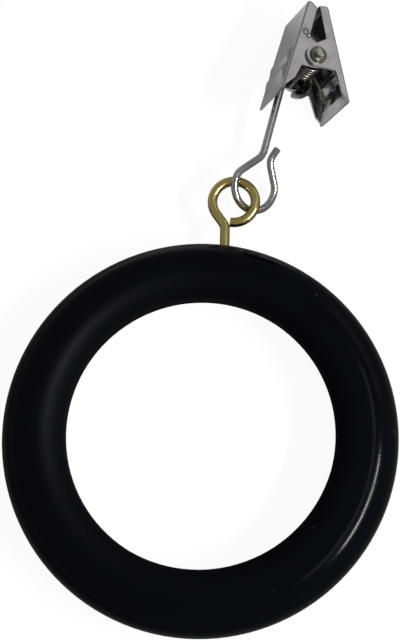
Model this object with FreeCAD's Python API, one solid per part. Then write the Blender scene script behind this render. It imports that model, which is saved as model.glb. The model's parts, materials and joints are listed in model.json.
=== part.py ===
import FreeCAD, Part
import math
import os

# Curtain ring with clip: a turned wooden ring, a brass screw eye in its rim, a bent wire hook
# through that eye, and a sprung two-jaw clip on the hook's end. Millimetres.
# The ring lies flat, its bore on the Z axis and its middle plane at Z = 0. The screw eye is on +Y.

# Wooden ring
BORE_RADIUS = 25.0
BAND_WIDTH = 11.5
RING_THICKNESS = 11.5
RIM_OFFSET = 0.65
BORE_LAND = 4.0
FACE_FLAT = 0.2

# Screw eye
EYE_WIRE = 1.85
LOOP_RADIUS = 4.1
LOOP_OFFSET = 1.6
LOOP_END_DEG = -99.0
STEM_LENGTH = 4.0
STEM_TURN_DEG = 36.0
STEM_BEND = 2.5
SCREW_DEPTH = 8.5
SCREW_POINT = 1.8
SCREW_LEAN_DEG = 6.2

# Wire hook, drawn flat with its round at the origin and its shank along +Y
HOOK_WIRE = 1.4
ROUND_RADIUS = 4.55
SHANK_OFFSET = -0.05
SHANK_LENGTH = 16.75
SHOULDER_HEIGHT = 6.25
SHOULDER_TURN_DEG = 42.0
SHOULDER_BEND = 3.0
SIDE_BEND = 3.1
NECK_HEIGHT = 5.85
NECK_GAP = 1.75
RETURN_TURN_DEG = 31.0
RETURN_BEND = 3.2
FLARE_TURN_DEG = 21.0
FLARE_BEND = 2.2
FLARE_LENGTH = 2.9
PIN_EYE_RADIUS = 3.08
PIN_EYE_TURN_DEG = 272.0

# How the hook lies in the screw eye's loop
HOOK_REACH_X = 3.5
HOOK_REACH_Y = 3.75
HOOK_REACH_Z = -0.94
HOOK_HEADING_DEG = -7.8
HOOK_PITCH_DEG = 5.5
HOOK_ROLL_DEG = 37.1

# How the clip lies on the hook
CLIP_HEADING_DEG = 5.1
CLIP_PITCH_DEG = -6.8
CLIP_ROLL_DEG = 25.3
HOOK_STATION = -2.68
PIN_PULL = 1.0

# Clip jaws, drawn from the pin: out across the clip, and along it from the tail to the tip
SHEET = 0.5
FRONT_WIDTH = 10.4
SIDE_PLAY = 0.1
LIP_GAP = 0.2
LIP_Y = 10.9
FRONT_TIP_Y = 12.4
REAR_TIP_Y = 11.3
TIP_OUT = 1.95
TIP_BEND = 0.7
TAIL_OUT = 7.0
TAIL_Y = -8.2
GRIP_TOP_Y = 1.7
GRIP_END_Y = -6.2
GRIP_MARGIN = 1.1
GRIP_SLOPE = 0.8
CREST_ONE_Y = 0.0
CREST_TWO_Y = -3.4
CREST_HEIGHT = 0.62
CREST_BEND = 2.5
REST_Y = -1.8
REST_HEIGHT = 0.15
REST_BEND = 0.6
FOLD_ROUND = 0.4
EDGE_MATCH = 0.004
MOUTH_OUT = 1.7
MOUTH_Y = 3.9
EAR_RADIUS = 2.3
FRONT_STRIP = 2.6
FRONT_TAPER = 2.6
REAR_STRIP = 1.7
REAR_TAPER = 1.5
NIB_OUT = 2.5
NIB_Y = 4.8
NIB_RADIUS = 0.75
NIB_HEIGHT = 0.45

# Pivot pin, its drawn collars on the rear jaw, and the torsion spring
PIN_RADIUS = 0.95
PIN_PLAY = 0.05
PIN_PROUD = 0.9
PIN_EDGE = 0.25
COLLAR_RADIUS = 1.65
COLLAR_HEIGHT = 0.35
SPRING_WIRE = 0.72
SPRING_PITCH = 0.84
SPRING_RADIUS = 2.0
SPRING_TURNS = 5
SPRING_PLAY = 0.12
LEG_Y = -5.6

ORIGIN = FreeCAD.Vector(0, 0, 0)
X_AXIS = FreeCAD.Vector(1, 0, 0)
Y_AXIS = FreeCAD.Vector(0, 1, 0)
Z_AXIS = FreeCAD.Vector(0, 0, 1)


def at(x, y, z=0.0):
    """Return a point."""
    return FreeCAD.Vector(x, y, z)


def on_circle(centre, radius, degrees):
    """Return the point of a flat circle at an angle."""
    angle = math.radians(degrees)
    return centre + at(radius * math.cos(angle), radius * math.sin(angle))


def line(start, end):
    """Return a straight edge."""
    return Part.LineSegment(start, end).toShape()


def arc(centre, radius, start, end):
    """Return a flat arc between two angles in degrees, turning either way."""
    middle = on_circle(centre, radius, (start + end) / 2)
    return Part.Arc(on_circle(centre, radius, start), middle, on_circle(centre, radius, end)).toShape()


def bent_path(start, bends, end):
    """Return straight runs joined by tangent arcs, from a list of (corner, bend radius)."""
    corners = [start] + [corner for corner, radius in bends] + [end]
    edges = []
    run_start = start
    for index, (corner, radius) in enumerate(bends):
        way_in = (corner - corners[index]).normalize()
        way_out = (corners[index + 2] - corner).normalize()
        half_turn = way_in.getAngle(way_out) / 2
        setback = radius * math.tan(half_turn)
        inside = radius / math.cos(half_turn) - radius
        arc_start = corner - way_in * setback
        arc_middle = corner + (way_out - way_in).normalize() * inside
        arc_end = corner + way_out * setback
        edges.append(line(run_start, arc_start))
        edges.append(Part.Arc(arc_start, arc_middle, arc_end).toShape())
        run_start = arc_end
    edges.append(line(run_start, end))
    return edges


def round_rod(edges, diameter):
    """Return a round wire swept along joined edges."""
    first = edges[0]
    start = first.valueAt(first.FirstParameter)
    heading = first.tangentAt(first.FirstParameter)
    section = Part.Wire([Part.Circle(start, heading, diameter / 2).toShape()])
    return Part.Wire(edges).makePipeShell([section], True, False)


def upright_bar(radius, half_length):
    """Return a cylinder on the Z axis that reaches as far above the origin as below it."""
    return Part.makeCylinder(radius, 2 * half_length, at(0, 0, -half_length), Z_AXIS)


def lying(place, heading, pitch, roll):
    """Return a placement whose long axis +Y is turned about Z, then dipped, then rolled."""
    turn = FreeCAD.Rotation(Z_AXIS, heading)
    dip = FreeCAD.Rotation(X_AXIS, pitch)
    lean = FreeCAD.Rotation(Y_AXIS, roll)
    return FreeCAD.Placement(place, turn * dip * lean)


def moved(shape, placement):
    """Return a copy of a shape carried by a placement."""
    return shape.transformed(placement.toMatrix(), True)


# Where each piece lies, from the ring outwards


def screw_placement():
    """Return where the screw eye enters the rim, leaning a little from the radius."""
    rim = BORE_RADIUS + BAND_WIDTH - RIM_OFFSET
    return FreeCAD.Placement(at(0, rim, 0), FreeCAD.Rotation(Z_AXIS, SCREW_LEAN_DEG))


def loop_join():
    """Return where the screw eye's slanted neck runs into its loop."""
    turn = math.radians(STEM_TURN_DEG)
    across = LOOP_RADIUS * math.cos(turn) - LOOP_OFFSET
    return at(-across, STEM_LENGTH + across / math.tan(turn))


def loop_centre():
    """Return the centre of the screw eye's loop, in the screw's own frame."""
    return on_circle(loop_join(), LOOP_RADIUS, STEM_TURN_DEG)


def hook_placement():
    """Return where the hook lies, with its round in the screw eye's loop."""
    loop = screw_placement().multVec(loop_centre())
    place = loop + at(HOOK_REACH_X, HOOK_REACH_Y, HOOK_REACH_Z)
    return lying(place, HOOK_HEADING_DEG, HOOK_PITCH_DEG, HOOK_ROLL_DEG)


def pin_eye_centre():
    """Return the centre of the hook's eye for the pin, in the hook's own frame."""
    return at(SHANK_OFFSET + PIN_EYE_RADIUS, SHOULDER_HEIGHT + SHANK_LENGTH)


def clip_placement():
    """Return where the clip lies, with its pin through the hook's eye and drawn up against it."""
    seat = hook_placement().multVec(pin_eye_centre() + at(0, PIN_PULL))
    along_pin = lying(seat, CLIP_HEADING_DEG, CLIP_PITCH_DEG, CLIP_ROLL_DEG)
    return along_pin.multiply(FreeCAD.Placement(at(0, 0, -HOOK_STATION), FreeCAD.Rotation()))


# Wooden ring


def turned(profile):
    """Return the solid turned about Z from the edges of a closed profile in the XZ plane."""
    return Part.Face(Part.Wire(profile)).revolve(ORIGIN, Z_AXIS, 360)


def ring_blank():
    """Return the disc with its fully rounded rim, set off from the bore."""
    half = RING_THICKNESS / 2
    rim = BORE_RADIUS + BAND_WIDTH
    low = at(rim - half, 0, -half)
    high = at(rim - half, 0, half)
    profile = [
        line(at(0, 0, -half), low),
        Part.Arc(low, at(rim, 0, 0), high).toShape(),
        line(high, at(0, 0, half)),
        line(at(0, 0, half), at(0, 0, -half)),
    ]
    blank = turned(profile)
    blank.translate(at(0, -RIM_OFFSET, 0))
    return blank


def bore_cutter():
    """Return what the bore takes away: a short straight land with a round on each side."""
    half = RING_THICKNESS / 2
    land = BORE_LAND / 2
    reach = BAND_WIDTH - RIM_OFFSET - half - FACE_FLAT
    rise = half - land
    radius = (reach ** 2 + rise ** 2) / (2 * rise)
    outer = BORE_RADIUS + reach
    half_turn = math.atan2(reach, radius - rise) / 2
    middle_x = outer - radius * math.sin(half_turn)
    middle_z = half - radius + radius * math.cos(half_turn)
    top = at(outer, 0, RING_THICKNESS)
    bottom = at(outer, 0, -RING_THICKNESS)
    profile = [
        line(at(0, 0, -RING_THICKNESS), bottom),
        line(bottom, at(outer, 0, -half)),
        Part.Arc(at(outer, 0, -half), at(middle_x, 0, -middle_z), at(BORE_RADIUS, 0, -land)).toShape(),
        line(at(BORE_RADIUS, 0, -land), at(BORE_RADIUS, 0, land)),
        Part.Arc(at(BORE_RADIUS, 0, land), at(middle_x, 0, middle_z), at(outer, 0, half)).toShape(),
        line(at(outer, 0, half), top),
        line(top, at(0, 0, RING_THICKNESS)),
        line(at(0, 0, RING_THICKNESS), at(0, 0, -RING_THICKNESS)),
    ]
    return turned(profile)


def screw_shank(outside):
    """Return the straight screw with its point, standing out of the rim by a given length."""
    straight = SCREW_DEPTH - SCREW_POINT
    shank = Part.makeCylinder(EYE_WIRE / 2, straight + outside, at(0, -straight, 0), Y_AXIS)
    return shank.fuse(Part.makeCone(EYE_WIRE / 2, 0, SCREW_POINT, at(0, -straight, 0), -Y_AXIS))


def wooden_ring():
    """Return the ring with its bore and the blind hole that the screw fills."""
    ring = ring_blank().cut(bore_cutter())
    return ring.cut(moved(screw_shank(STEM_LENGTH), screw_placement()))


# Screw eye


def screw_eye():
    """Return the screw, its stem and its open loop, bent from one wire."""
    path = bent_path(ORIGIN, [(at(0, STEM_LENGTH), STEM_BEND)], loop_join())
    path.append(arc(loop_centre(), LOOP_RADIUS, 180 + STEM_TURN_DEG, LOOP_END_DEG))
    return screw_shank(0).fuse(round_rod(path, EYE_WIRE)).removeSplitter()


# Wire hook


def hook_path():
    """Return the hook's bends: the eye for the pin, the shank, the round and the flared free end."""
    shoulder_drop = (SHANK_OFFSET + ROUND_RADIUS) / math.tan(math.radians(SHOULDER_TURN_DEG))
    neck_x = SHANK_OFFSET + NECK_GAP
    return_drop = (ROUND_RADIUS - neck_x) / math.tan(math.radians(RETURN_TURN_DEG))
    shank_bends = [
        (at(SHANK_OFFSET, SHOULDER_HEIGHT), SHOULDER_BEND),
        (at(-ROUND_RADIUS, SHOULDER_HEIGHT - shoulder_drop), SIDE_BEND),
    ]
    free_bends = [
        (at(ROUND_RADIUS, NECK_HEIGHT - return_drop), RETURN_BEND),
        (at(neck_x, NECK_HEIGHT), FLARE_BEND),
    ]
    free_end = on_circle(at(neck_x, NECK_HEIGHT), FLARE_LENGTH, 90 - FLARE_TURN_DEG)
    shank_top = at(SHANK_OFFSET, SHOULDER_HEIGHT + SHANK_LENGTH)
    path = [arc(pin_eye_centre(), PIN_EYE_RADIUS, 180 - PIN_EYE_TURN_DEG, 180)]
    path += bent_path(shank_top, shank_bends, at(-ROUND_RADIUS, 0))
    path.append(arc(ORIGIN, ROUND_RADIUS, 180, 360))
    return path + bent_path(at(ROUND_RADIUS, 0), free_bends, free_end)


def wire_hook():
    """Return the hook, bent from one wire."""
    return round_rod(hook_path(), HOOK_WIRE)


# Clip jaws, drawn on the rear side of the pin, which is +X in the clip's own frame


def lever_out(tip_y):
    """Return the direction straight out of a jaw's lever."""
    run = at(TAIL_OUT - TIP_OUT, TAIL_Y - tip_y).normalize()
    return at(-run.y, run.x)


def lever_point(tip_y, y):
    """Return the point of a jaw's straight outer line at a distance along the clip."""
    share = (tip_y - y) / (tip_y - TAIL_Y)
    return at(TIP_OUT + share * (TAIL_OUT - TIP_OUT), y)


def jaw_profile(tip_y):
    """Return the outer line of a jaw's sheet: lip, tip and the straight plate to the tail."""
    bends = [(at(TIP_OUT, tip_y), TIP_BEND)]
    return bent_path(at(LIP_GAP / 2, LIP_Y), bends, at(TAIL_OUT, TAIL_Y))


def grip(tip_y, half_width):
    """Return the finger grip pressed out of a jaw: two crests that slope off before each fold."""
    out = lever_out(tip_y)
    root = out * (SHEET / 2)
    top = lever_point(tip_y, GRIP_TOP_Y)
    end = lever_point(tip_y, GRIP_END_Y)
    bends = [
        (lever_point(tip_y, CREST_ONE_Y) + out * CREST_HEIGHT, CREST_BEND),
        (lever_point(tip_y, REST_Y) + out * REST_HEIGHT, REST_BEND),
        (lever_point(tip_y, CREST_TWO_Y) + out * CREST_HEIGHT, CREST_BEND),
    ]
    outline = bent_path(top, bends, end)
    outline += [line(end, end - root), line(end - root, top - root), line(top - root, top)]
    bar = Part.Face(Part.Wire(outline))
    bar.translate(at(0, 0, -half_width))
    bar = bar.extrude(Z_AXIS * 2 * half_width)
    wide = Z_AXIS * (half_width - GRIP_MARGIN + GRIP_SLOPE * SHEET / 2)
    narrow = Z_AXIS * (half_width - GRIP_MARGIN - GRIP_SLOPE * CREST_HEIGHT)
    foot = end - root
    crown = end + out * CREST_HEIGHT
    section = Part.makePolygon([foot - wide, foot + wide, crown + narrow, crown - narrow, foot - wide])
    return bar.common(Part.Face(section).extrude(top - end))


def flange_closing(tip_y, strip, taper):
    """Return the inner line of a jaw's side flange: its strip, ear and mouth edges."""
    mouth = at(MOUTH_OUT, MOUTH_Y)
    mouth_angle = math.degrees(math.atan2(MOUTH_Y, MOUTH_OUT))
    ear_angle = mouth_angle + math.degrees(math.acos(EAR_RADIUS / mouth.Length))
    strip_top = lever_point(tip_y, -EAR_RADIUS) - X_AXIS * strip
    strip_end = at(TAIL_OUT - strip, TAIL_Y + taper)
    return [
        line(at(TAIL_OUT, TAIL_Y), strip_end),
        line(strip_end, strip_top),
        line(strip_top, at(0, -EAR_RADIUS)),
        arc(ORIGIN, EAR_RADIUS, 270, ear_angle),
        line(on_circle(ORIGIN, EAR_RADIUS, ear_angle), mouth),
        line(mouth, at(LIP_GAP / 2, LIP_Y)),
    ]


def jaw(half_width, tip_y, strip, taper):
    """Return a jaw folded from one sheet: a plate with a pressed grip between two side flanges."""
    outer_line = jaw_profile(tip_y)
    profile = Part.Wire(outer_line)
    plate = profile.makeOffset2D(SHEET, 0, True, True)
    plate.translate(at(0, 0, -half_width))
    flange = Part.Face(Part.Wire(outer_line + flange_closing(tip_y, strip, taper)))
    near = flange.copy()
    near.translate(at(0, 0, half_width - SHEET))
    far = flange.copy()
    far.translate(at(0, 0, -half_width))
    sides = [side.extrude(Z_AXIS * SHEET) for side in (near, far)]
    folded = plate.extrude(Z_AXIS * 2 * half_width).fuse(sides).removeSplitter()
    folded = folded.makeFillet(FOLD_ROUND, fold_edges(folded, profile, half_width))
    raised = grip(tip_y, half_width)
    hollow = raised.copy()
    hollow.translate(lever_out(tip_y) * -SHEET)
    return folded.fuse(raised).cut(hollow)


def fold_edges(folded, profile, half_width):
    """Return the outer edges along which a jaw's sheet is folded into its flanges."""
    edges = []
    for edge in folded.Edges:
        middle = edge.valueAt((edge.FirstParameter + edge.LastParameter) / 2)
        flat = Part.Vertex(at(middle.x, middle.y))
        on_side = abs(abs(middle.z) - half_width) < EDGE_MATCH
        if on_side and profile.distToShape(flat)[0] < EDGE_MATCH:
            edges.append(edge)
    return edges


def rear_half_width():
    """Return half the width over the rear jaw's flanges, which lap the front jaw's."""
    return FRONT_WIDTH / 2 + SIDE_PLAY + SHEET


def nib(side):
    """Return the domed nib pressed out of a front flange."""
    radius = (NIB_RADIUS ** 2 + NIB_HEIGHT ** 2) / (2 * NIB_HEIGHT)
    base = math.degrees(math.asin((radius - NIB_HEIGHT) / radius))
    centre = at(NIB_OUT, NIB_Y, side * (FRONT_WIDTH / 2 + NIB_HEIGHT - radius))
    return Part.makeSphere(radius, centre, Z_AXIS * side, base, 90, 360)


def front_jaw():
    """Return the front jaw, whose flanges run inside the rear jaw's and turn on the pin."""
    folded = jaw(FRONT_WIDTH / 2, FRONT_TIP_Y, FRONT_STRIP, FRONT_TAPER).fuse([nib(1), nib(-1)])
    bored = folded.cut(upright_bar(PIN_RADIUS + PIN_PLAY, FRONT_WIDTH))
    return bored.mirror(ORIGIN, X_AXIS)


def rear_jaw():
    """Return the rear jaw with the drawn collars that hold the pin."""
    half_width = rear_half_width()
    collars = upright_bar(COLLAR_RADIUS, half_width + COLLAR_HEIGHT)
    collars = collars.cut(upright_bar(COLLAR_RADIUS, half_width - SHEET))
    folded = jaw(half_width, REAR_TIP_Y, REAR_STRIP, REAR_TAPER).fuse(collars)
    return folded.cut(upright_bar(PIN_RADIUS, FRONT_WIDTH)).removeSplitter()


# Pin and spring


def pivot_pin():
    """Return the pin, fast in the rear jaw and standing proud of its collars."""
    pin = upright_bar(PIN_RADIUS, rear_half_width() + COLLAR_HEIGHT + PIN_PROUD)
    rims = [edge for edge in pin.Edges if edge.isClosed()]
    return pin.makeFillet(PIN_EDGE, rims)


def torsion_spring():
    """Return the close-wound spring on the pin, with a leg against each jaw's lever."""
    leg_out = lever_point(REAR_TIP_Y, LEG_Y).x - SHEET - SPRING_PLAY - SPRING_WIRE / 2
    foot = at(leg_out, LEG_Y)
    foot_angle = math.degrees(math.atan2(LEG_Y, leg_out))
    rear_angle = foot_angle + math.degrees(math.acos(SPRING_RADIUS / foot.Length))
    turns = SPRING_TURNS + (180 - 2 * rear_angle) / 360
    climb = SPRING_PITCH / (2 * math.pi * SPRING_RADIUS)
    leg_climb = climb * math.sqrt(foot.Length ** 2 - SPRING_RADIUS ** 2)
    near = FRONT_WIDTH / 2 - SHEET - SPRING_PLAY - SPRING_WIRE / 2 - leg_climb
    far = near - turns * SPRING_PITCH
    coil = Part.makeHelix(SPRING_PITCH, turns * SPRING_PITCH, SPRING_RADIUS)
    coil.rotate(ORIGIN, Z_AXIS, rear_angle)
    coil.translate(at(0, 0, far))
    rear_leg = line(at(leg_out, LEG_Y, far - leg_climb), on_circle(at(0, 0, far), SPRING_RADIUS, rear_angle))
    coil_end = on_circle(at(0, 0, near), SPRING_RADIUS, 180 - rear_angle)
    front_leg = line(coil_end, at(-leg_out, LEG_Y, near + leg_climb))
    return round_rod([rear_leg] + coil.Edges + [front_leg], SPRING_WIRE)


def build():
    """Build every piece where it lies and write one file for each."""
    clip = clip_placement()
    pieces = {
        "wooden_ring": wooden_ring(),
        "screw_eye": moved(screw_eye(), screw_placement()),
        "wire_hook": moved(wire_hook(), hook_placement()),
        "front_jaw": moved(front_jaw(), clip),
        "rear_jaw": moved(rear_jaw(), clip),
        "pivot_pin": moved(pivot_pin(), clip),
        "torsion_spring": moved(torsion_spring(), clip),
    }
    os.makedirs("parts", exist_ok=True)
    for name, shape in pieces.items():
        shape.exportStep(os.path.join("parts", name + ".step"))


if __name__ == "__main__":
    build()
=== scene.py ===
"""Dresses a curtain ring with clip: painted wood, a brass screw eye, a wire hook and a sprung clip."""

from __future__ import annotations

import json
import logging
import math
from dataclasses import dataclass, field
from enum import Enum
from typing import Any

import bpy
from mathutils import Matrix, Vector

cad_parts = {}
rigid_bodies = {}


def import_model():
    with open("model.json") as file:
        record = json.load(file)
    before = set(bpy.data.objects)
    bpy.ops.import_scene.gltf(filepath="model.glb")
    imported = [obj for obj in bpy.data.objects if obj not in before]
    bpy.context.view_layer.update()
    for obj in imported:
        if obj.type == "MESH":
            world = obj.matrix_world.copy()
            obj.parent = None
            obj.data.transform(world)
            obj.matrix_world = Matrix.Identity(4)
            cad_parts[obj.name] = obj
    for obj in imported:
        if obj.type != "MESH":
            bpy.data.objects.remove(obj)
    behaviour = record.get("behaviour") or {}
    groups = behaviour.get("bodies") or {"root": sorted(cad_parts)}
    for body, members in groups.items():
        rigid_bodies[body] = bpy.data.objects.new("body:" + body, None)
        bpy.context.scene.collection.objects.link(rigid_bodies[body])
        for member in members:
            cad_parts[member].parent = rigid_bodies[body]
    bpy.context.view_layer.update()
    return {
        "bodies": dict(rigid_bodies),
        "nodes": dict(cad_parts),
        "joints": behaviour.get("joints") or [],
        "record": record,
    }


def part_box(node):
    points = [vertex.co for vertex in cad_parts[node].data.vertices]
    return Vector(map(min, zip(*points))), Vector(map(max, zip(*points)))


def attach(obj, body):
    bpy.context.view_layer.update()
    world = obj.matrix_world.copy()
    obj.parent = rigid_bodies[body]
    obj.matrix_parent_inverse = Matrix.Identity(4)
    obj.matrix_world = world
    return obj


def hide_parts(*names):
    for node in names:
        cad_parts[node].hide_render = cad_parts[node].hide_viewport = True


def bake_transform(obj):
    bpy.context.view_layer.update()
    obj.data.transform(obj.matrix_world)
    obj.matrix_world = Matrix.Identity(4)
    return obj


LOG = logging.getLogger("curtain_ring")
MM = 0.001
MERGE = 0.001 * MM
SMOOTH_ANGLE = math.radians(32.0)
INWARDS = -1.0
MIX_FACTOR = 0
MIX_FIRST_COLOUR = 6
MIX_SECOND_COLOUR = 7
MIX_COLOUR_OUT = 2
Colour = tuple[float, float, float]
Point = tuple[float, float, float]
Span = tuple[float, float]


class Node(str, Enum):
    """The solids of the frame that this scene dresses."""

    RING = "wooden_ring"
    EYE = "screw_eye"
    HOOK = "wire_hook"
    FRONT_JAW = "front_jaw"
    REAR_JAW = "rear_jaw"
    PIN = "pivot_pin"
    SPRING = "torsion_spring"


class Body(str, Enum):
    """The bodies that move."""

    FRONT = "front_half"
    REAR = "rear_half"


class Slot(str, Enum):
    """The record's material slots."""

    JAW = "jaw_nickel"
    PIN = "pin_nickel"
    SPRING = "spring_steel"


class Signal:
    """A shader value that takes part in plain arithmetic."""

    def __init__(self, tree: ShaderTree, socket: bpy.types.NodeSocket) -> None:
        """Wrap a node's output.

        Args:
            tree: The tree that the socket belongs to.
            socket: The output to wrap.
        """
        self.tree = tree
        self.socket = socket

    def _math(self, operation: str, first: Any, second: Any) -> Signal:
        """Add a Math node and return its value.

        Args:
            operation: The Math node's operation.
            first: The first number or value.
            second: The second number or value.

        Returns:
            The node's value.
        """
        made = self.tree.node("ShaderNodeMath", {"operation": operation}, {0: first, 1: second})
        return Signal(self.tree, made.outputs[0])

    def __add__(self, other: Any) -> Signal:
        """Return self + other."""
        return self._math("ADD", self, other)

    def __radd__(self, other: Any) -> Signal:
        """Return other + self."""
        return self._math("ADD", other, self)

    def __sub__(self, other: Any) -> Signal:
        """Return self - other."""
        return self._math("SUBTRACT", self, other)

    def __rsub__(self, other: Any) -> Signal:
        """Return other - self."""
        return self._math("SUBTRACT", other, self)

    def __mul__(self, other: Any) -> Signal:
        """Return self * other."""
        return self._math("MULTIPLY", self, other)

    def __rmul__(self, other: Any) -> Signal:
        """Return other * self."""
        return self._math("MULTIPLY", other, self)

    def sine(self) -> Signal:
        """Return the sine of self, in radians."""
        return self._math("SINE", self, 0.0)


class ShaderTree:
    """The nodes of one material or of the world."""

    def __init__(self, owner: bpy.types.Material | bpy.types.World) -> None:
        """Start an empty tree.

        Args:
            owner: The material or world that holds the tree.
        """
        owner.use_nodes = True
        self.nodes = owner.node_tree.nodes
        self.links = owner.node_tree.links
        self.nodes.clear()

    def node(self, kind: str, settings: dict[str, Any] | None = None,
             sockets: dict[str | int, Any] | None = None) -> bpy.types.Node:
        """Add a node.

        Args:
            kind: The node's type.
            settings: Its properties, set first.
            sockets: A number, colour or link for each named input.

        Returns:
            The node.
        """
        made = self.nodes.new(kind)
        for name, value in (settings or {}).items():
            setattr(made, name, value)
        for name, value in (sockets or {}).items():
            if isinstance(value, Signal):
                self.links.new(value.socket, made.inputs[name])
            elif isinstance(value, bpy.types.NodeSocket):
                self.links.new(value, made.inputs[name])
            else:
                made.inputs[name].default_value = value
        return made

    def value(self, kind: str, output: str | int, settings: dict[str, Any] | None = None,
              sockets: dict[str | int, Any] | None = None) -> Signal:
        """Add a node and return one of its outputs as a value.

        Args:
            kind: The node's type.
            output: The output's name or place.
            settings: Its properties.
            sockets: A number, colour or link for each named input.

        Returns:
            The output.
        """
        return Signal(self, self.node(kind, settings, sockets).outputs[output])

    def places(self, turn: Matrix | None = None,
               stretch: Point = (1.0, 1.0, 1.0)) -> bpy.types.NodeSocket:
        """Return object coordinates in millimetres, turned and stretched for a pattern.

        Args:
            turn: A rotation from the object's axes to the pattern's.
            stretch: How much finer the pattern is along each of its axes.

        Returns:
            The coordinates.
        """
        source = self.node("ShaderNodeTexCoord").outputs["Object"]
        angles = turn.to_euler() if turn else (0.0, 0.0, 0.0)
        turned = self.node("ShaderNodeMapping", None, {"Vector": source, "Rotation": tuple(angles)})
        sockets = {"Vector": turned.outputs[0], "Scale": tuple(part / MM for part in stretch)}
        return self.node("ShaderNodeMapping", None, sockets).outputs[0]

    def noise(self, places: bpy.types.NodeSocket, per_mm: float, detail: float) -> Signal:
        """Return a noise value from 0 to 1.

        Args:
            places: The coordinates in millimetres.
            per_mm: How many blotches there are in a millimetre.
            detail: How many finer layers it has.

        Returns:
            The noise.
        """
        sockets = {"Vector": places, "Scale": per_mm, "Detail": detail}
        return self.value("ShaderNodeTexNoise", "Fac", None, sockets)

    def graded(self, value: Signal, low: float, high: float) -> Signal:
        """Return a value spread from 0 to 1.

        Args:
            value: The value to spread.
            low: What becomes 0, with all beyond it.
            high: What becomes 1, with all beyond it.

        Returns:
            The spread value.
        """
        sockets = {"Value": value, "From Min": low, "From Max": high}
        return self.value("ShaderNodeMapRange", 0, {"clamp": True}, sockets)

    def axes(self, places: bpy.types.NodeSocket) -> tuple[Signal, Signal, Signal]:
        """Return the three coordinates of a place as values.

        Args:
            places: The coordinates.

        Returns:
            The value along each axis.
        """
        split = self.node("ShaderNodeSeparateXYZ", None, {0: places})
        along_x, along_y, along_z = (Signal(self, output) for output in split.outputs)
        return along_x, along_y, along_z

    def mixed(self, factor: Signal, first: Colour | bpy.types.NodeSocket,
              second: Colour) -> bpy.types.NodeSocket:
        """Return a colour between two.

        Args:
            factor: 0 for the first colour, 1 for the second.
            first: The first colour, or a link to one.
            second: The second colour.

        Returns:
            The mixed colour.
        """
        start = first if isinstance(first, bpy.types.NodeSocket) else (*first, 1.0)
        inputs = {MIX_FACTOR: factor, MIX_FIRST_COLOUR: start, MIX_SECOND_COLOUR: (*second, 1.0)}
        return self.node("ShaderNodeMix", {"data_type": "RGBA"}, inputs).outputs[MIX_COLOUR_OUT]

    def bump(self, height: Signal, depth_mm: float, strength: float) -> bpy.types.NodeSocket:
        """Return a normal roughened by a height.

        Args:
            height: The height, from 0 to 1.
            depth_mm: The real depth of that height.
            strength: How much of it shows.

        Returns:
            The normal.
        """
        sockets = {"Height": height, "Distance": depth_mm * MM, "Strength": strength}
        return self.node("ShaderNodeBump", None, sockets).outputs[0]

    def surface(self, sockets: dict[str | int, Any]) -> None:
        """Finish a material with a Principled shader.

        Args:
            sockets: A number, colour or link for each named input of the shader.
        """
        shader = self.node("ShaderNodeBsdfPrincipled", None, sockets)
        self.node("ShaderNodeOutputMaterial", None, {"Surface": shader.outputs[0]})


@dataclass(frozen=True)
class RingPaint:
    """Satin black paint on turned wood: soft gloss, faint lathe lines and a little dust."""

    name: str = "satin_black_paint"
    black: Colour = (0.001, 0.0012, 0.0027)
    worn: Colour = (0.0014, 0.0017, 0.0036)
    dust: Colour = (0.09, 0.09, 0.09)
    rim_roughness: float = 0.12
    bore_roughness: float = 0.7
    bore_side_mm: Span = (25.5, 31.5)
    roughness_spread: float = 0.04
    specular_level: float = 0.08
    blotch_per_mm: float = 0.09
    blotch_detail: float = 3.0
    blotch_span: Span = (0.35, 0.68)
    grain_per_mm: float = 1.6
    grain_detail: float = 4.0
    grain_share: float = 0.7
    lathe_line_mm: float = 0.55
    lathe_wander: float = 4.0
    lathe_share: float = 0.3
    relief_mm: float = 0.02
    relief_strength: float = 0.12
    speck_per_mm: float = 0.22
    speck_span: Span = (0.0175, 0.035)
    speck_roughness: float = 0.4

    def material(self) -> bpy.types.Material:
        """Return the paint as a material."""
        made = bpy.data.materials.new(self.name)
        tree = ShaderTree(made)
        places = tree.places()
        across, along, _ = tree.axes(places)
        squared = across * across + along * along
        radius = tree.value("ShaderNodeMath", 0, {"operation": "SQRT"}, {0: squared})
        blotch = tree.graded(tree.noise(places, self.blotch_per_mm, self.blotch_detail), *self.blotch_span)
        grain = tree.noise(places, self.grain_per_mm, self.grain_detail)
        wave = radius * (2 * math.pi / self.lathe_line_mm) + grain * self.lathe_wander
        lathe = wave.sine() * 0.5 + 0.5
        spread = {"Vector": places, "Scale": self.speck_per_mm}
        dots = tree.value("ShaderNodeTexVoronoi", "Distance", None, spread)
        specks = 1.0 - tree.graded(dots, *self.speck_span)
        paint = tree.mixed(blotch, self.black, self.worn)
        handled = tree.graded(radius, *self.bore_side_mm)
        gloss = handled * (self.rim_roughness - self.bore_roughness) + self.bore_roughness
        height = grain * self.grain_share + lathe * self.lathe_share
        tree.surface({
            "Base Color": tree.mixed(specks, paint, self.dust),
            "Roughness": blotch * self.roughness_spread + gloss + specks * self.speck_roughness,
            "Specular IOR Level": self.specular_level,
            "Normal": tree.bump(height, self.relief_mm, self.relief_strength),
        })
        return made


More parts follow.
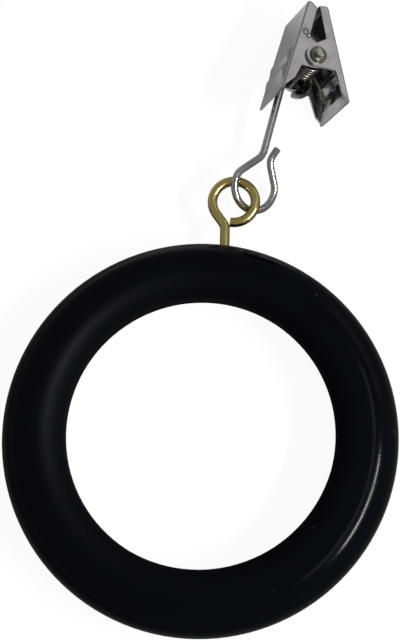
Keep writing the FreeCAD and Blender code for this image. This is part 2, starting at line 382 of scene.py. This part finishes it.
@dataclass(frozen=True)
class PlatedMetal:
    """Bright plate on drawn wire or pressed sheet: cloudy tone, fine handling scratches."""

    name: str
    bright: Colour
    dull: Colour
    roughness: float
    roughness_spread: float
    cloud_per_mm: float = 0.35
    cloud_detail: float = 3.0
    cloud_span: Span = (0.3, 0.7)
    cloud_share: float = 0.6
    scratch_per_mm: float = 5.0
    scratch_detail: float = 3.0
    scratch_span: Span = (0.42, 0.66)
    scratch_share: float = 0.4
    scratch_roughness: float = 0.5
    stretch: Point = (1.0, 1.0, 1.0)
    scratch_depth_mm: float = 0.012
    scratch_strength: float = 0.18
    # Below 1 this is painted shade: a darker grazing reflection along the edges.
    edge_shade_tint: float = 1.0
    turn: Matrix = field(default_factory=lambda: Matrix.Identity(3))

    def material(self) -> bpy.types.Material:
        """Return the plate as a material."""
        made = bpy.data.materials.new(self.name)
        tree = ShaderTree(made)
        clouds = tree.noise(tree.places(), self.cloud_per_mm, self.cloud_detail)
        cloud = tree.graded(clouds, *self.cloud_span)
        drawn = tree.noise(tree.places(self.turn, self.stretch), self.scratch_per_mm, self.scratch_detail)
        marks = tree.graded(drawn, *self.scratch_span)
        scratch_spread = self.roughness_spread * self.scratch_roughness
        tree.surface({
            "Base Color": self.tone(tree, cloud * self.cloud_share + marks * self.scratch_share),
            "Metallic": 1.0,
            # A Specular Tint below 1 darkens the grazing reflection: painted shade along a wire's edges.
            "Specular Tint": (self.edge_shade_tint, self.edge_shade_tint, self.edge_shade_tint, 1.0),
            "Roughness": self.roughness + cloud * self.roughness_spread + marks * scratch_spread,
            "Normal": tree.bump(drawn, self.scratch_depth_mm, self.scratch_strength),
        })
        return made

    def tone(self, tree: ShaderTree, dullness: Signal) -> bpy.types.NodeSocket:
        """Return the metal's colour.

        Args:
            tree: The material's nodes.
            dullness: 0 for the bright tone, 1 for the dull one.

        Returns:
            The colour.
        """
        return tree.mixed(dullness, self.bright, self.dull)


@dataclass(frozen=True)
class ShadedMiddlePlate(PlatedMetal):
    """The plate of a pin, with painted shade along its middle between the jaws and plain at its ends."""

    middle_shade: Colour = (0.07, 0.066, 0.052)
    middle_mm: float = 0.0
    unshaded_mm: Span = (5.2, 5.8)

    def tone(self, tree: ShaderTree, dullness: Signal) -> bpy.types.NodeSocket:
        """Return the metal's colour, darker along the middle as painted shade.

        Args:
            tree: The material's nodes.
            dullness: 0 for the bright tone, 1 for the dull one.

        Returns:
            The colour.
        """
        # Painted shade: the pin between the jaws is mixed towards a dark tone, and its ends stay plain.
        _, _, along_pin = tree.axes(tree.places(self.turn))
        away = along_pin - self.middle_mm
        start, end = self.unshaded_mm
        shaded_middle = 1.0 - tree.graded(away * away, start ** 2, end ** 2)
        return tree.mixed(shaded_middle, super().tone(tree, dullness), self.middle_shade)


@dataclass(frozen=True)
class ClipAxes:
    """The clip's own axes in the frame: across its jaws, along it to the tip, and along its pin."""

    pivot: Vector
    along: Vector
    pin: Vector

    @classmethod
    def read(cls, frame: dict[str, Any]) -> ClipAxes:
        """Read the axes from the frame's joints and mounts.


        Returns:
            The axes.
        """
        turn = next(joint for joint in frame["joints"] if joint["name"] == "clip_turn")
        mouth = next(mount for mount in frame["record"]["mounts"] if mount["name"] == "curtain_jaws")
        along = Vector(mouth["axis"]).normalized()
        pin = Vector(turn["axis"]).normalized()
        return cls(Vector(turn["pos_m"]), along, pin)

    def rotation(self) -> Matrix:
        """Return the rotation from the clip's axes to the frame's."""
        across = self.along.cross(self.pin).normalized()
        return Matrix((across, self.along, self.pin)).transposed()

    def placement(self) -> Matrix:
        """Return the placement from the clip's axes to the frame's."""
        return Matrix.Translation(self.pivot) @ self.rotation().to_4x4()

    def on_pin(self, height: float) -> Vector:
        """Return a point of the pin's axis.

        Args:
            height: How far it is above the pin's middle.

        Returns:
            The point.
        """
        return self.pivot + self.pin * height


def dress(node: bpy.types.Object, material: bpy.types.Material) -> None:
    """Put a material on every slot of a solid or a new piece.

    Args:
        node: Its object.
        material: The finish.
    """
    if not node.material_slots:
        node.data.materials.append(material)
    for slot in node.material_slots:
        slot.material = material
    LOG.info("dressed %s in %s", node.name, material.name)


def deselect_all() -> None:
    """Leave nothing selected, so that operators act on new pieces alone."""
    bpy.ops.object.select_all(action="DESELECT")


def merge_doubles() -> None:
    """Merge what coincides in the active piece and point its faces outwards."""
    bpy.ops.object.mode_set(mode="EDIT")
    bpy.ops.mesh.select_all(action="SELECT")
    bpy.ops.mesh.remove_doubles(threshold=MERGE)
    bpy.ops.mesh.normals_make_consistent(inside=False)
    bpy.ops.object.mode_set(mode="OBJECT")


def round_edges(piece: bpy.types.Object, name: str, width: float, segments: int, sharp: float) -> None:
    """Round the sharp edges of the active piece.

    Args:
        piece: The piece.
        name: What the rounding is.
        width: How wide it is.
        segments: How many facets it has.
        sharp: The angle between two faces from which their edge is rounded.
    """
    rounding = piece.modifiers.new(name, "BEVEL")
    rounding.width = width
    rounding.segments = segments
    rounding.limit_method = "ANGLE"
    rounding.angle_limit = sharp
    bpy.ops.object.modifier_apply(modifier=rounding.name)


def twin(piece: bpy.types.Object, name: str) -> bpy.types.Object:
    """Copy a piece with a mesh of its own and leave both selected.

    Args:
        piece: The piece to copy.
        name: The copy's name.

    Returns:
        The copy.
    """
    made = piece.copy()
    made.data = piece.data.copy()
    made.name = name
    bpy.context.scene.collection.objects.link(made)
    made.select_set(True)
    return made


def put_places_in_meshes() -> None:
    """Leave the selected pieces at the origin, with their places in their meshes."""
    bpy.ops.object.transform_apply(location=True, rotation=True, scale=True)


def settle() -> None:
    """Put the selected pieces' places into their meshes and smooth their gentle edges."""
    put_places_in_meshes()
    bpy.ops.object.shade_smooth_by_angle(angle=SMOOTH_ANGLE)


@dataclass
class PoleRing:
    """The wooden ring that runs on the pole, and the screw eye in its rim."""

    paint: RingPaint = field(default_factory=RingPaint)
    # The brass's low edge tint paints shade along the eye's wire edges.
    brass: PlatedMetal = PlatedMetal(
        name="brass_plate", bright=(0.66, 0.55, 0.21), dull=(0.44, 0.355, 0.1),
        roughness=0.13, roughness_spread=0.08, edge_shade_tint=0.3,
    )

    def dress(self, nodes: dict[str, bpy.types.Object]) -> None:
        """Dress the ring and its eye.

        Args:
            nodes: The frame's solids by name.
        """
        dress(nodes[Node.RING], self.paint.material())
        dress(nodes[Node.EYE], self.brass.material())


@dataclass
class WireHook:
    """The loose wire hook between the screw eye and the clip."""

    # The hook's low edge tint paints shade along its wire edges.
    nickel: PlatedMetal = PlatedMetal(
        name="hook_nickel_plate", bright=(0.6, 0.6, 0.6), dull=(0.34, 0.34, 0.34),
        roughness=0.05, roughness_spread=0.05, edge_shade_tint=0.1,
    )

    def dress(self, nodes: dict[str, bpy.types.Object]) -> None:
        """Dress the hook.

        Args:
            nodes: The frame's solids by name.
        """
        dress(nodes[Node.HOOK], self.nickel.material())


@dataclass
class TorsionSpring:
    """The close-wound spring on the pin: a coil with a straight leg against each jaw's lever."""

    wire: float = 0.72 * MM
    radius: float = 2.0 * MM
    pitch: float = 0.84 * MM
    whole_turns: int = 5
    leg_out: float = 5.347 * MM
    leg_y: float = -5.6 * MM
    near_end: float = 4.22 * MM
    wire_sides: int = 16
    steps_per_turn: int = 48
    end_round: float = 0.08 * MM
    end_segments: int = 2
    end_sharp: float = math.radians(60.0)
    steel: PlatedMetal = PlatedMetal(
        name="spring_wire", bright=(0.2, 0.19, 0.165), dull=(0.085, 0.08, 0.065),
        roughness=0.12, roughness_spread=0.12,
    )

    def __post_init__(self) -> None:
        """Work out how the coil runs from one leg to the other."""
        reach = math.hypot(self.leg_out, self.leg_y)
        self.start_angle = math.atan2(self.leg_y, self.leg_out) + math.acos(self.radius / reach)
        self.turns = self.whole_turns + 0.5 - self.start_angle / math.pi
        self.leg_length = math.sqrt(reach ** 2 - self.radius ** 2)
        self.leg_climb = self.leg_length * self.pitch / (2 * math.pi * self.radius)
        self.height = self.turns * self.pitch
        self.top = self.near_end - self.leg_climb
        self.bottom = self.top - self.height

    def build(self, axes: ClipAxes) -> bpy.types.Object:
        """Model the spring where it lies in the clip.

        Args:
            axes: The clip's axes.

        Returns:
            The spring's object, at the origin with its place in its mesh.
        """
        deselect_all()
        bpy.ops.mesh.primitive_circle_add(
            vertices=self.wire_sides, radius=self.wire / 2, location=(self.radius, 0.0, 0.0),
            rotation=(math.pi / 2, 0.0, 0.0),
        )
        spring = bpy.context.active_object
        spring.name = "coiled_spring"
        put_places_in_meshes()
        self._wind(spring)
        self._draw_leg(spring, self.turns * 2 * math.pi, 1.0)
        self._draw_leg(spring, 0.0, -1.0)
        self._close(spring)
        lift = Matrix.Translation((0.0, 0.0, self.bottom)) @ Matrix.Rotation(self.start_angle, 4, "Z")
        spring.matrix_world = axes.placement() @ lift
        settle()
        return spring

    def _wind(self, spring: bpy.types.Object) -> None:
        """Wind the wire's round section into the coil.

        Args:
            spring: The object that holds the section.
        """
        coil = spring.modifiers.new("coil", "SCREW")
        coil.axis = "Z"
        coil.angle = self.turns * 2 * math.pi
        coil.screw_offset = self.height
        coil.steps = round(self.turns * self.steps_per_turn)
        coil.render_steps = coil.steps
        bpy.ops.object.modifier_apply(modifier=coil.name)

    def _draw_leg(self, spring: bpy.types.Object, angle: float, way: float) -> None:
        """Draw a straight leg out of one end of the coil.

        Args:
            spring: The wound coil.
            angle: The angle round the coil at that end.
            way: 1 to run on in the coil's direction, -1 to run back.
        """
        height = self.height * angle / (self.turns * 2 * math.pi)
        centre = Vector((self.radius * math.cos(angle), self.radius * math.sin(angle), height))
        mesh = spring.data
        for part in (*mesh.vertices, *mesh.edges, *mesh.polygons):
            part.select = False
        bpy.ops.object.mode_set(mode="EDIT")
        bpy.ops.mesh.select_mode(type="EDGE")
        bpy.ops.mesh.select_non_manifold(extend=False, use_wire=False, use_multi_face=False,
                                         use_non_contiguous=False, use_verts=False)
        bpy.ops.object.mode_set(mode="OBJECT")
        points = spring.data.vertices
        for edge in spring.data.edges:
            middle = (points[edge.vertices[0]].co + points[edge.vertices[1]].co) / 2
            edge.select = edge.select and (middle - centre).length < self.wire
        for vertex in points:
            vertex.select = False
        for edge in spring.data.edges:
            for index in edge.vertices:
                points[index].select = points[index].select or edge.select
        bpy.ops.object.mode_set(mode="EDIT")
        run = Vector((-math.sin(angle), math.cos(angle), 0.0)) * (way * self.leg_length)
        run.z = way * self.leg_climb
        bpy.ops.mesh.extrude_edges_move(TRANSFORM_OT_translate={"value": tuple(run)})
        bpy.ops.mesh.edge_face_add()
        bpy.ops.object.mode_set(mode="OBJECT")

    def _close(self, spring: bpy.types.Object) -> None:
        """Merge what coincides, point the faces outwards and round the wire's cut ends.

        Args:
            spring: The spring with both its legs.
        """
        merge_doubles()
        round_edges(spring, "cut_ends", self.end_round, self.end_segments, self.end_sharp)


@dataclass
class PivotPin:
    """The pin through both jaws, with the step that shearing left on each of its ends."""

    radius: float = 0.95 * MM
    half_length: float = 7.05 * MM
    edge_round: float = 0.08 * MM
    edge_segments: int = 3
    edge_sharp: float = math.radians(50.0)
    step_depth: float = 0.8 * MM
    step_offset: float = 0.3 * MM
    step_angle: float = math.radians(30.0)
    sides: int = 64

    def build(self, axes: ClipAxes) -> bpy.types.Object:
        """Model the pin where it lies in the clip.

        Args:
            axes: The clip's axes.

        Returns:
            The pin's object, at the origin with its place in its mesh.
        """
        deselect_all()
        length = 2 * self.half_length
        bpy.ops.mesh.primitive_cylinder_add(vertices=self.sides, radius=self.radius, depth=length)
        pin = bpy.context.active_object
        pin.name = "sheared_pin"
        for end in (1.0, -1.0):
            self._shear(pin, end)
        merge_doubles()
        round_edges(pin, "worn_edges", self.edge_round, self.edge_segments, self.edge_sharp)
        merge_doubles()
        pin.matrix_world = axes.placement()
        settle()
        return pin

    def _shear(self, pin: bpy.types.Object, end: float) -> None:
        """Cut the step into one end of the pin.

        Args:
            pin: The plain pin.
            end: 1 for the upper end, -1 for the lower.
        """
        deselect_all()
        reach = 2 * self.radius
        out = self.step_offset + reach
        place = (out * math.cos(self.step_angle), out * math.sin(self.step_angle),
                 end * (self.half_length - self.step_depth + reach))
        turn = (0.0, 0.0, self.step_angle)
        bpy.ops.mesh.primitive_cube_add(size=2 * reach, location=place, rotation=turn)
        blade = bpy.context.active_object
        deselect_all()
        pin.select_set(True)
        bpy.context.view_layer.objects.active = pin
        step = pin.modifiers.new("sheared_step", "BOOLEAN")
        step.operation = "DIFFERENCE"
        step.object = blade
        bpy.ops.object.modifier_apply(modifier=step.name)
        bpy.data.objects.remove(blade, do_unlink=True)


@dataclass
class CollarRim:
    """The drawn rim of a collar, which stands round the pin with a narrow gap."""

    radius: float = 1.68 * MM
    thickness: float = 0.6 * MM
    foot: float = 5.75 * MM
    top: float = 6.25 * MM
    edge_round: float = 0.16 * MM
    edge_segments: int = 4
    edge_sharp: float = math.radians(50.0)
    sides: int = 72

    def build(self, axes: ClipAxes) -> list[bpy.types.Object]:
        """Model the rims round both ends of the pin.

        Args:
            axes: The clip's axes.

        Returns:
            The near rim and the far one, at the origin with their places in their meshes.
        """
        deselect_all()
        foot = (0.0, 0.0, self.foot)
        rise = (0.0, 0.0, self.top - self.foot)
        bpy.ops.mesh.primitive_circle_add(vertices=self.sides, radius=self.radius, location=foot)
        near = bpy.context.active_object
        near.name = "collar_rim_near"
        put_places_in_meshes()
        bpy.ops.object.mode_set(mode="EDIT")
        bpy.ops.mesh.select_all(action="SELECT")
        bpy.ops.mesh.extrude_edges_move(TRANSFORM_OT_translate={"value": rise})
        bpy.ops.mesh.select_all(action="SELECT")
        bpy.ops.mesh.normals_make_consistent(inside=False)
        bpy.ops.object.mode_set(mode="OBJECT")
        wall = near.modifiers.new("sheet_wall", "SOLIDIFY")
        wall.thickness = self.thickness
        wall.offset = INWARDS
        bpy.ops.object.modifier_apply(modifier=wall.name)
        round_edges(near, "drawn_edge", self.edge_round, self.edge_segments, self.edge_sharp)
        far = twin(near, "collar_rim_far")
        near.matrix_world = axes.placement()
        far.matrix_world = axes.placement() @ Matrix.Rotation(math.pi, 4, "Y")
        settle()
        return [near, far]


@dataclass
class StopBead:
    """The short bead pressed out of each of the front jaw's flanges, between its nib and its edge."""

    across: float = -1.95 * MM
    along: float = 4.1 * MM
    foot: float = 5.15 * MM
    half_length: float = 0.68 * MM
    half_width: float = 0.45 * MM
    height: float = 0.5 * MM
    slant: float = math.radians(-58.0)
    sides: int = 32
    rings: int = 15

    def build(self, axes: ClipAxes) -> list[bpy.types.Object]:
        """Model the beads of both flanges.

        Args:
            axes: The clip's axes.

        Returns:
            The near bead and the far one, at the origin with their places in their meshes.
        """
        deselect_all()
        # An odd count of rings keeps their vertices off the plane of the cut.
        bpy.ops.mesh.primitive_uv_sphere_add(segments=self.sides, ring_count=self.rings, radius=self.height)
        near = bpy.context.active_object
        near.name = "stop_bead_near"
        bpy.ops.object.mode_set(mode="EDIT")
        bpy.ops.mesh.select_all(action="SELECT")
        bpy.ops.mesh.bisect(plane_co=(0.0, 0.0, 0.0), plane_no=(0.0, 0.0, 1.0), use_fill=True,
                            clear_inner=True, threshold=MERGE)
        bpy.ops.mesh.select_all(action="SELECT")
        stretch = (self.half_length / self.height, self.half_width / self.height, 1.0)
        bpy.ops.transform.resize(value=stretch, center_override=(0.0, 0.0, 0.0))
        bpy.ops.mesh.normals_make_consistent(inside=False)
        bpy.ops.object.mode_set(mode="OBJECT")
        far = twin(near, "stop_bead_far")
        slant = Matrix.Rotation(self.slant, 4, "Z")
        lie = Matrix.Translation((self.across, self.along, self.foot)) @ slant
        sink = Matrix.Translation((self.across, self.along, -self.foot)) @ slant
        near.matrix_world = axes.placement() @ lie
        far.matrix_world = axes.placement() @ sink @ Matrix.Rotation(math.pi, 4, "X")
        settle()
        return [near, far]


@dataclass
class CurtainClip:
    """The sprung clip: two pressed jaws, the pin they turn on and the spring that shuts them."""

    axes: ClipAxes
    spring: TorsionSpring = field(default_factory=TorsionSpring)
    pin: PivotPin = field(default_factory=PivotPin)
    rim: CollarRim = field(default_factory=CollarRim)
    bead: StopBead = field(default_factory=StopBead)

    def sheet(self) -> PlatedMetal:
        """Return the jaws' finish, brushed along the clip."""
        return PlatedMetal(
            name="jaw_nickel_plate", bright=(0.5, 0.493, 0.502), dull=(0.39, 0.385, 0.394),
            roughness=0.14, roughness_spread=0.1, stretch=(6.0, 0.35, 6.0), scratch_per_mm=1.2,
            turn=self.axes.rotation().inverted(),
        )

    def pin_metal(self) -> ShadedMiddlePlate:
        """Return the pin's finish, dull and a little warm."""
        return ShadedMiddlePlate(
            name="pin_nickel_plate", bright=(0.56, 0.54, 0.48), dull=(0.34, 0.32, 0.26),
            roughness=0.2, roughness_spread=0.12, turn=self.axes.rotation().inverted(),
            middle_mm=self.axes.pivot.dot(self.axes.pin) / MM,
        )

    def rim_metal(self) -> PlatedMetal:
        """Return the collar rims' finish, darker and browner than the pin's."""
        return PlatedMetal(
            name="rim_nickel_plate", bright=(0.21, 0.2, 0.155), dull=(0.11, 0.103, 0.072),
            roughness=0.2, roughness_spread=0.12, turn=self.axes.rotation().inverted(),
        )

    def build_jaws(self, nodes: dict[str, bpy.types.Object]) -> list[bpy.types.Object]:
        """Dress both jaws and model the beads on the front one.

        Args:
            nodes: The frame's solids by name.

        Returns:
            The beads.
        """
        plate = self.sheet().material()
        dress(nodes[Node.FRONT_JAW], plate)
        dress(nodes[Node.REAR_JAW], plate)
        beads = self.bead.build(self.axes)
        for made in beads:
            dress(made, plate)
            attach(made, Body.FRONT.value)
        return beads

    def build_pin(self) -> list[bpy.types.Object]:
        """Model the pin with the collar rims round its ends, and fasten them in the rear jaw.

        Returns:
            The pin and the rims.
        """
        pin = self.pin.build(self.axes)
        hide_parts(Node.PIN.value)
        dress(pin, self.pin_metal().material())
        rims = self.rim.build(self.axes)
        dark = self.rim_metal().material()
        for made in rims:
            dress(made, dark)
        pieces = [pin, *rims]
        for made in pieces:
            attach(made, Body.REAR.value)
        return pieces

    def build_spring(self) -> bpy.types.Object:
        """Model the spring, dress it and hide the solid that it replaces.

        Returns:
            The spring's object.
        """
        made = self.spring.build(self.axes)
        dress(made, self.spring.steel.material())
        near = self.axes.on_pin(self.spring.top)
        far = self.axes.on_pin(self.spring.bottom)
        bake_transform(made)
        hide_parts(Node.SPRING.value)
        return made


class Reach(Enum):
    """How a lamp treats the two jaws."""

    ALL = "all pieces"
    NOT_JAWS = "EXCLUDE"
    JAWS_ONLY = "INCLUDE"


@dataclass(frozen=True)
class Softbox:
    """An area lamp aimed at the ring."""

    name: str
    place: Point
    width: float
    height: float
    watts: float
    target: Point = (0.0, 0.02, 0.0)
    colour: Colour = (1.0, 1.0, 1.0)
    reach: Reach = Reach.ALL

    def build(self, jaws: list[bpy.types.Object]) -> None:
        """Hang the lamp and aim it.

        Args:
            jaws: The two jaws, which a flag may keep the lamp off, or which it may light alone.
        """
        lamp = bpy.data.lights.new(self.name, "AREA")
        lamp.shape = "RECTANGLE"
        lamp.size = self.width
        lamp.size_y = self.height
        lamp.energy = self.watts
        lamp.color = self.colour
        holder = bpy.data.objects.new(self.name, lamp)
        holder.location = self.place
        away = Vector(self.place) - Vector(self.target)
        holder.rotation_euler = away.to_track_quat("Z", "Y").to_euler()
        bpy.context.scene.collection.objects.link(holder)
        if self.reach is not Reach.ALL:
            flag = bpy.data.collections.new(f"{self.name}_flag")
            for piece in jaws:
                flag.objects.link(piece)
            for entry in flag.collection_objects:
                entry.light_linking.link_state = self.reach.value
            holder.light_linking.receiver_collection = flag


@dataclass(frozen=True)
class Studio:
    """A white floor, soft lamps and a plain surround."""

    floor_height: float
    floor_size: float = 6.0
    floor_white: float = 0.9
    shadow_share: float = 0.1
    floor_glow: float = 1.05
    mirror_share: float = 0.21
    # Painted dark reflection on the floor: how much of it there is and where its edges lie.
    dark_reflection_share: float = 0.75
    dark_reflection_left_mm: Span = (9.0, 24.0)
    dark_reflection_top_mm: Span = (55.0, 42.0)
    surround: Colour = (0.125, 0.124, 0.128)
    lamps: tuple[Softbox, ...] = (
        Softbox("key_softbox", (0.4346, -0.061, 0.409), 0.28, 0.025, 2.8, reach=Reach.NOT_JAWS),
        Softbox("jaw_spot", (0.4346, -0.061, 0.409), 0.045, 0.025, 0.3, reach=Reach.JAWS_ONLY),
        Softbox("overhead_softbox", (0.295, 0.02, 0.634), 0.55, 0.1, 0.3),
        Softbox("right_card", (0.75, 0.7, 0.5), 0.6, 0.4, 0.33, colour=(1.0, 0.98, 0.94)),
    )

    def build(self, jaws: list[bpy.types.Object]) -> None:
        """Lay the floor, light it and set the surround.

        Args:
            jaws: The two jaws, which have a key lamp of their own.
        """
        deselect_all()
        bpy.ops.mesh.primitive_plane_add(size=self.floor_size, location=(0.0, 0.0, self.floor_height))
        floor = bpy.context.active_object
        floor.name = "floor"
        floor.data.materials.append(self._floor_material())
        for lamp in self.lamps:
            lamp.build(jaws)
        self._build_surround()

    def _seen(self, tree: ShaderTree) -> Signal:
        """Tell how much of the white a ray sees.

        Args:
            tree: The material's or the world's nodes.

        Returns:
            1 for rays straight from the camera, less for mirrored ones, and else 0.
        """
        rays = tree.node("ShaderNodeLightPath")
        straight, mirrored, through = (
            Signal(tree, rays.outputs[f"Is {kind} Ray"]) for kind in ("Camera", "Glossy", "Transmission"))
        return straight + (mirrored + through) * self.mirror_share

    def _floor_material(self) -> bpy.types.Material:
        """Return the floor's white, which takes the shadow and shows mirrored rays a painted dark
        reflection over part of it.
        """
        made = bpy.data.materials.new("white_floor")
        tree = ShaderTree(made)
        white = (self.floor_white, self.floor_white, self.floor_white, 1.0)
        matt = tree.node("ShaderNodeBsdfDiffuse", None, {"Color": white})
        light = {"Color": (1.0, 1.0, 1.0, 1.0), "Strength": self.floor_glow}
        glow = tree.node("ShaderNodeEmission", None, light)
        factor = self._seen(tree) * (1.0 - self.shadow_share)
        mix = tree.node("ShaderNodeMixShader", None, {0: factor, 1: matt.outputs[0], 2: glow.outputs[0]})
        # Painted dark reflection: to mirrored rays the floor turns black to the right and below the given
        # edges.
        across, along, _ = tree.axes(tree.places())
        right = tree.graded(across, *self.dark_reflection_left_mm)
        below = tree.graded(along, *self.dark_reflection_top_mm)
        flag = 1.0 - (1.0 - right) * (1.0 - below)
        painted_dark_reflection = tree.value("ShaderNodeLightPath", "Is Glossy Ray") * flag * self.dark_reflection_share
        black = tree.node("ShaderNodeEmission", None, {"Strength": 0.0})
        layers = {0: painted_dark_reflection, 1: mix.outputs[0], 2: black.outputs[0]}
        dimmed = tree.node("ShaderNodeMixShader", None, layers)
        tree.node("ShaderNodeOutputMaterial", None, {"Surface": dimmed.outputs[0]})
        return made

    def _build_surround(self) -> None:
        """Set a surround that is white to the camera and dim to the object."""
        world = bpy.data.worlds.new("surround")
        bpy.context.scene.world = world
        tree = ShaderTree(world)
        colour = tree.mixed(self._seen(tree), self.surround, (1.0, 1.0, 1.0))
        background = tree.node("ShaderNodeBackground", None, {"Color": colour, "Strength": 1.0})
        tree.node("ShaderNodeOutputWorld", None, {"Surface": background.outputs[0]})


@dataclass(frozen=True)
class PhotoCamera:
    """The camera above the table, a little below the ring's middle and tilted up along it."""

    place: Point = (0.01992, -0.03602, 0.2576)
    turn_deg: Point = (13.0, 3.3, 7.64)
    lens_mm: float = 79.5
    sensor_mm: float = 36.0
    nearest: float = 0.01

    def build(self) -> None:
        """Set up the camera and make it the scene's own."""
        data = bpy.data.cameras.new("photo_camera")
        data.lens = self.lens_mm
        data.sensor_width = self.sensor_mm
        data.sensor_fit = "AUTO"
        data.clip_start = self.nearest
        camera = bpy.data.objects.new("photo_camera", data)
        camera.location = self.place
        camera.rotation_euler = tuple(math.radians(angle) for angle in self.turn_deg)
        bpy.context.scene.collection.objects.link(camera)
        bpy.context.scene.camera = camera


def main() -> None:
    """Load the frame, dress it, build what is new and set the studio round it."""
    logging.basicConfig(level=logging.INFO)
    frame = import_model()
    bpy.context.scene.view_settings.view_transform = "Standard"
    nodes = frame["nodes"]
    PoleRing().dress(nodes)
    WireHook().dress(nodes)
    clip = CurtainClip(ClipAxes.read(frame))
    for made in (*clip.build_jaws(nodes), *clip.build_pin(), clip.build_spring()):
        LOG.info("built %s", made.name)
    jaws = [nodes[Node.FRONT_JAW], nodes[Node.REAR_JAW]]
    Studio(floor_height=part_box(Node.RING.value)[0].z).build(jaws)
    PhotoCamera().build()


if __name__ == "__main__":
    main()
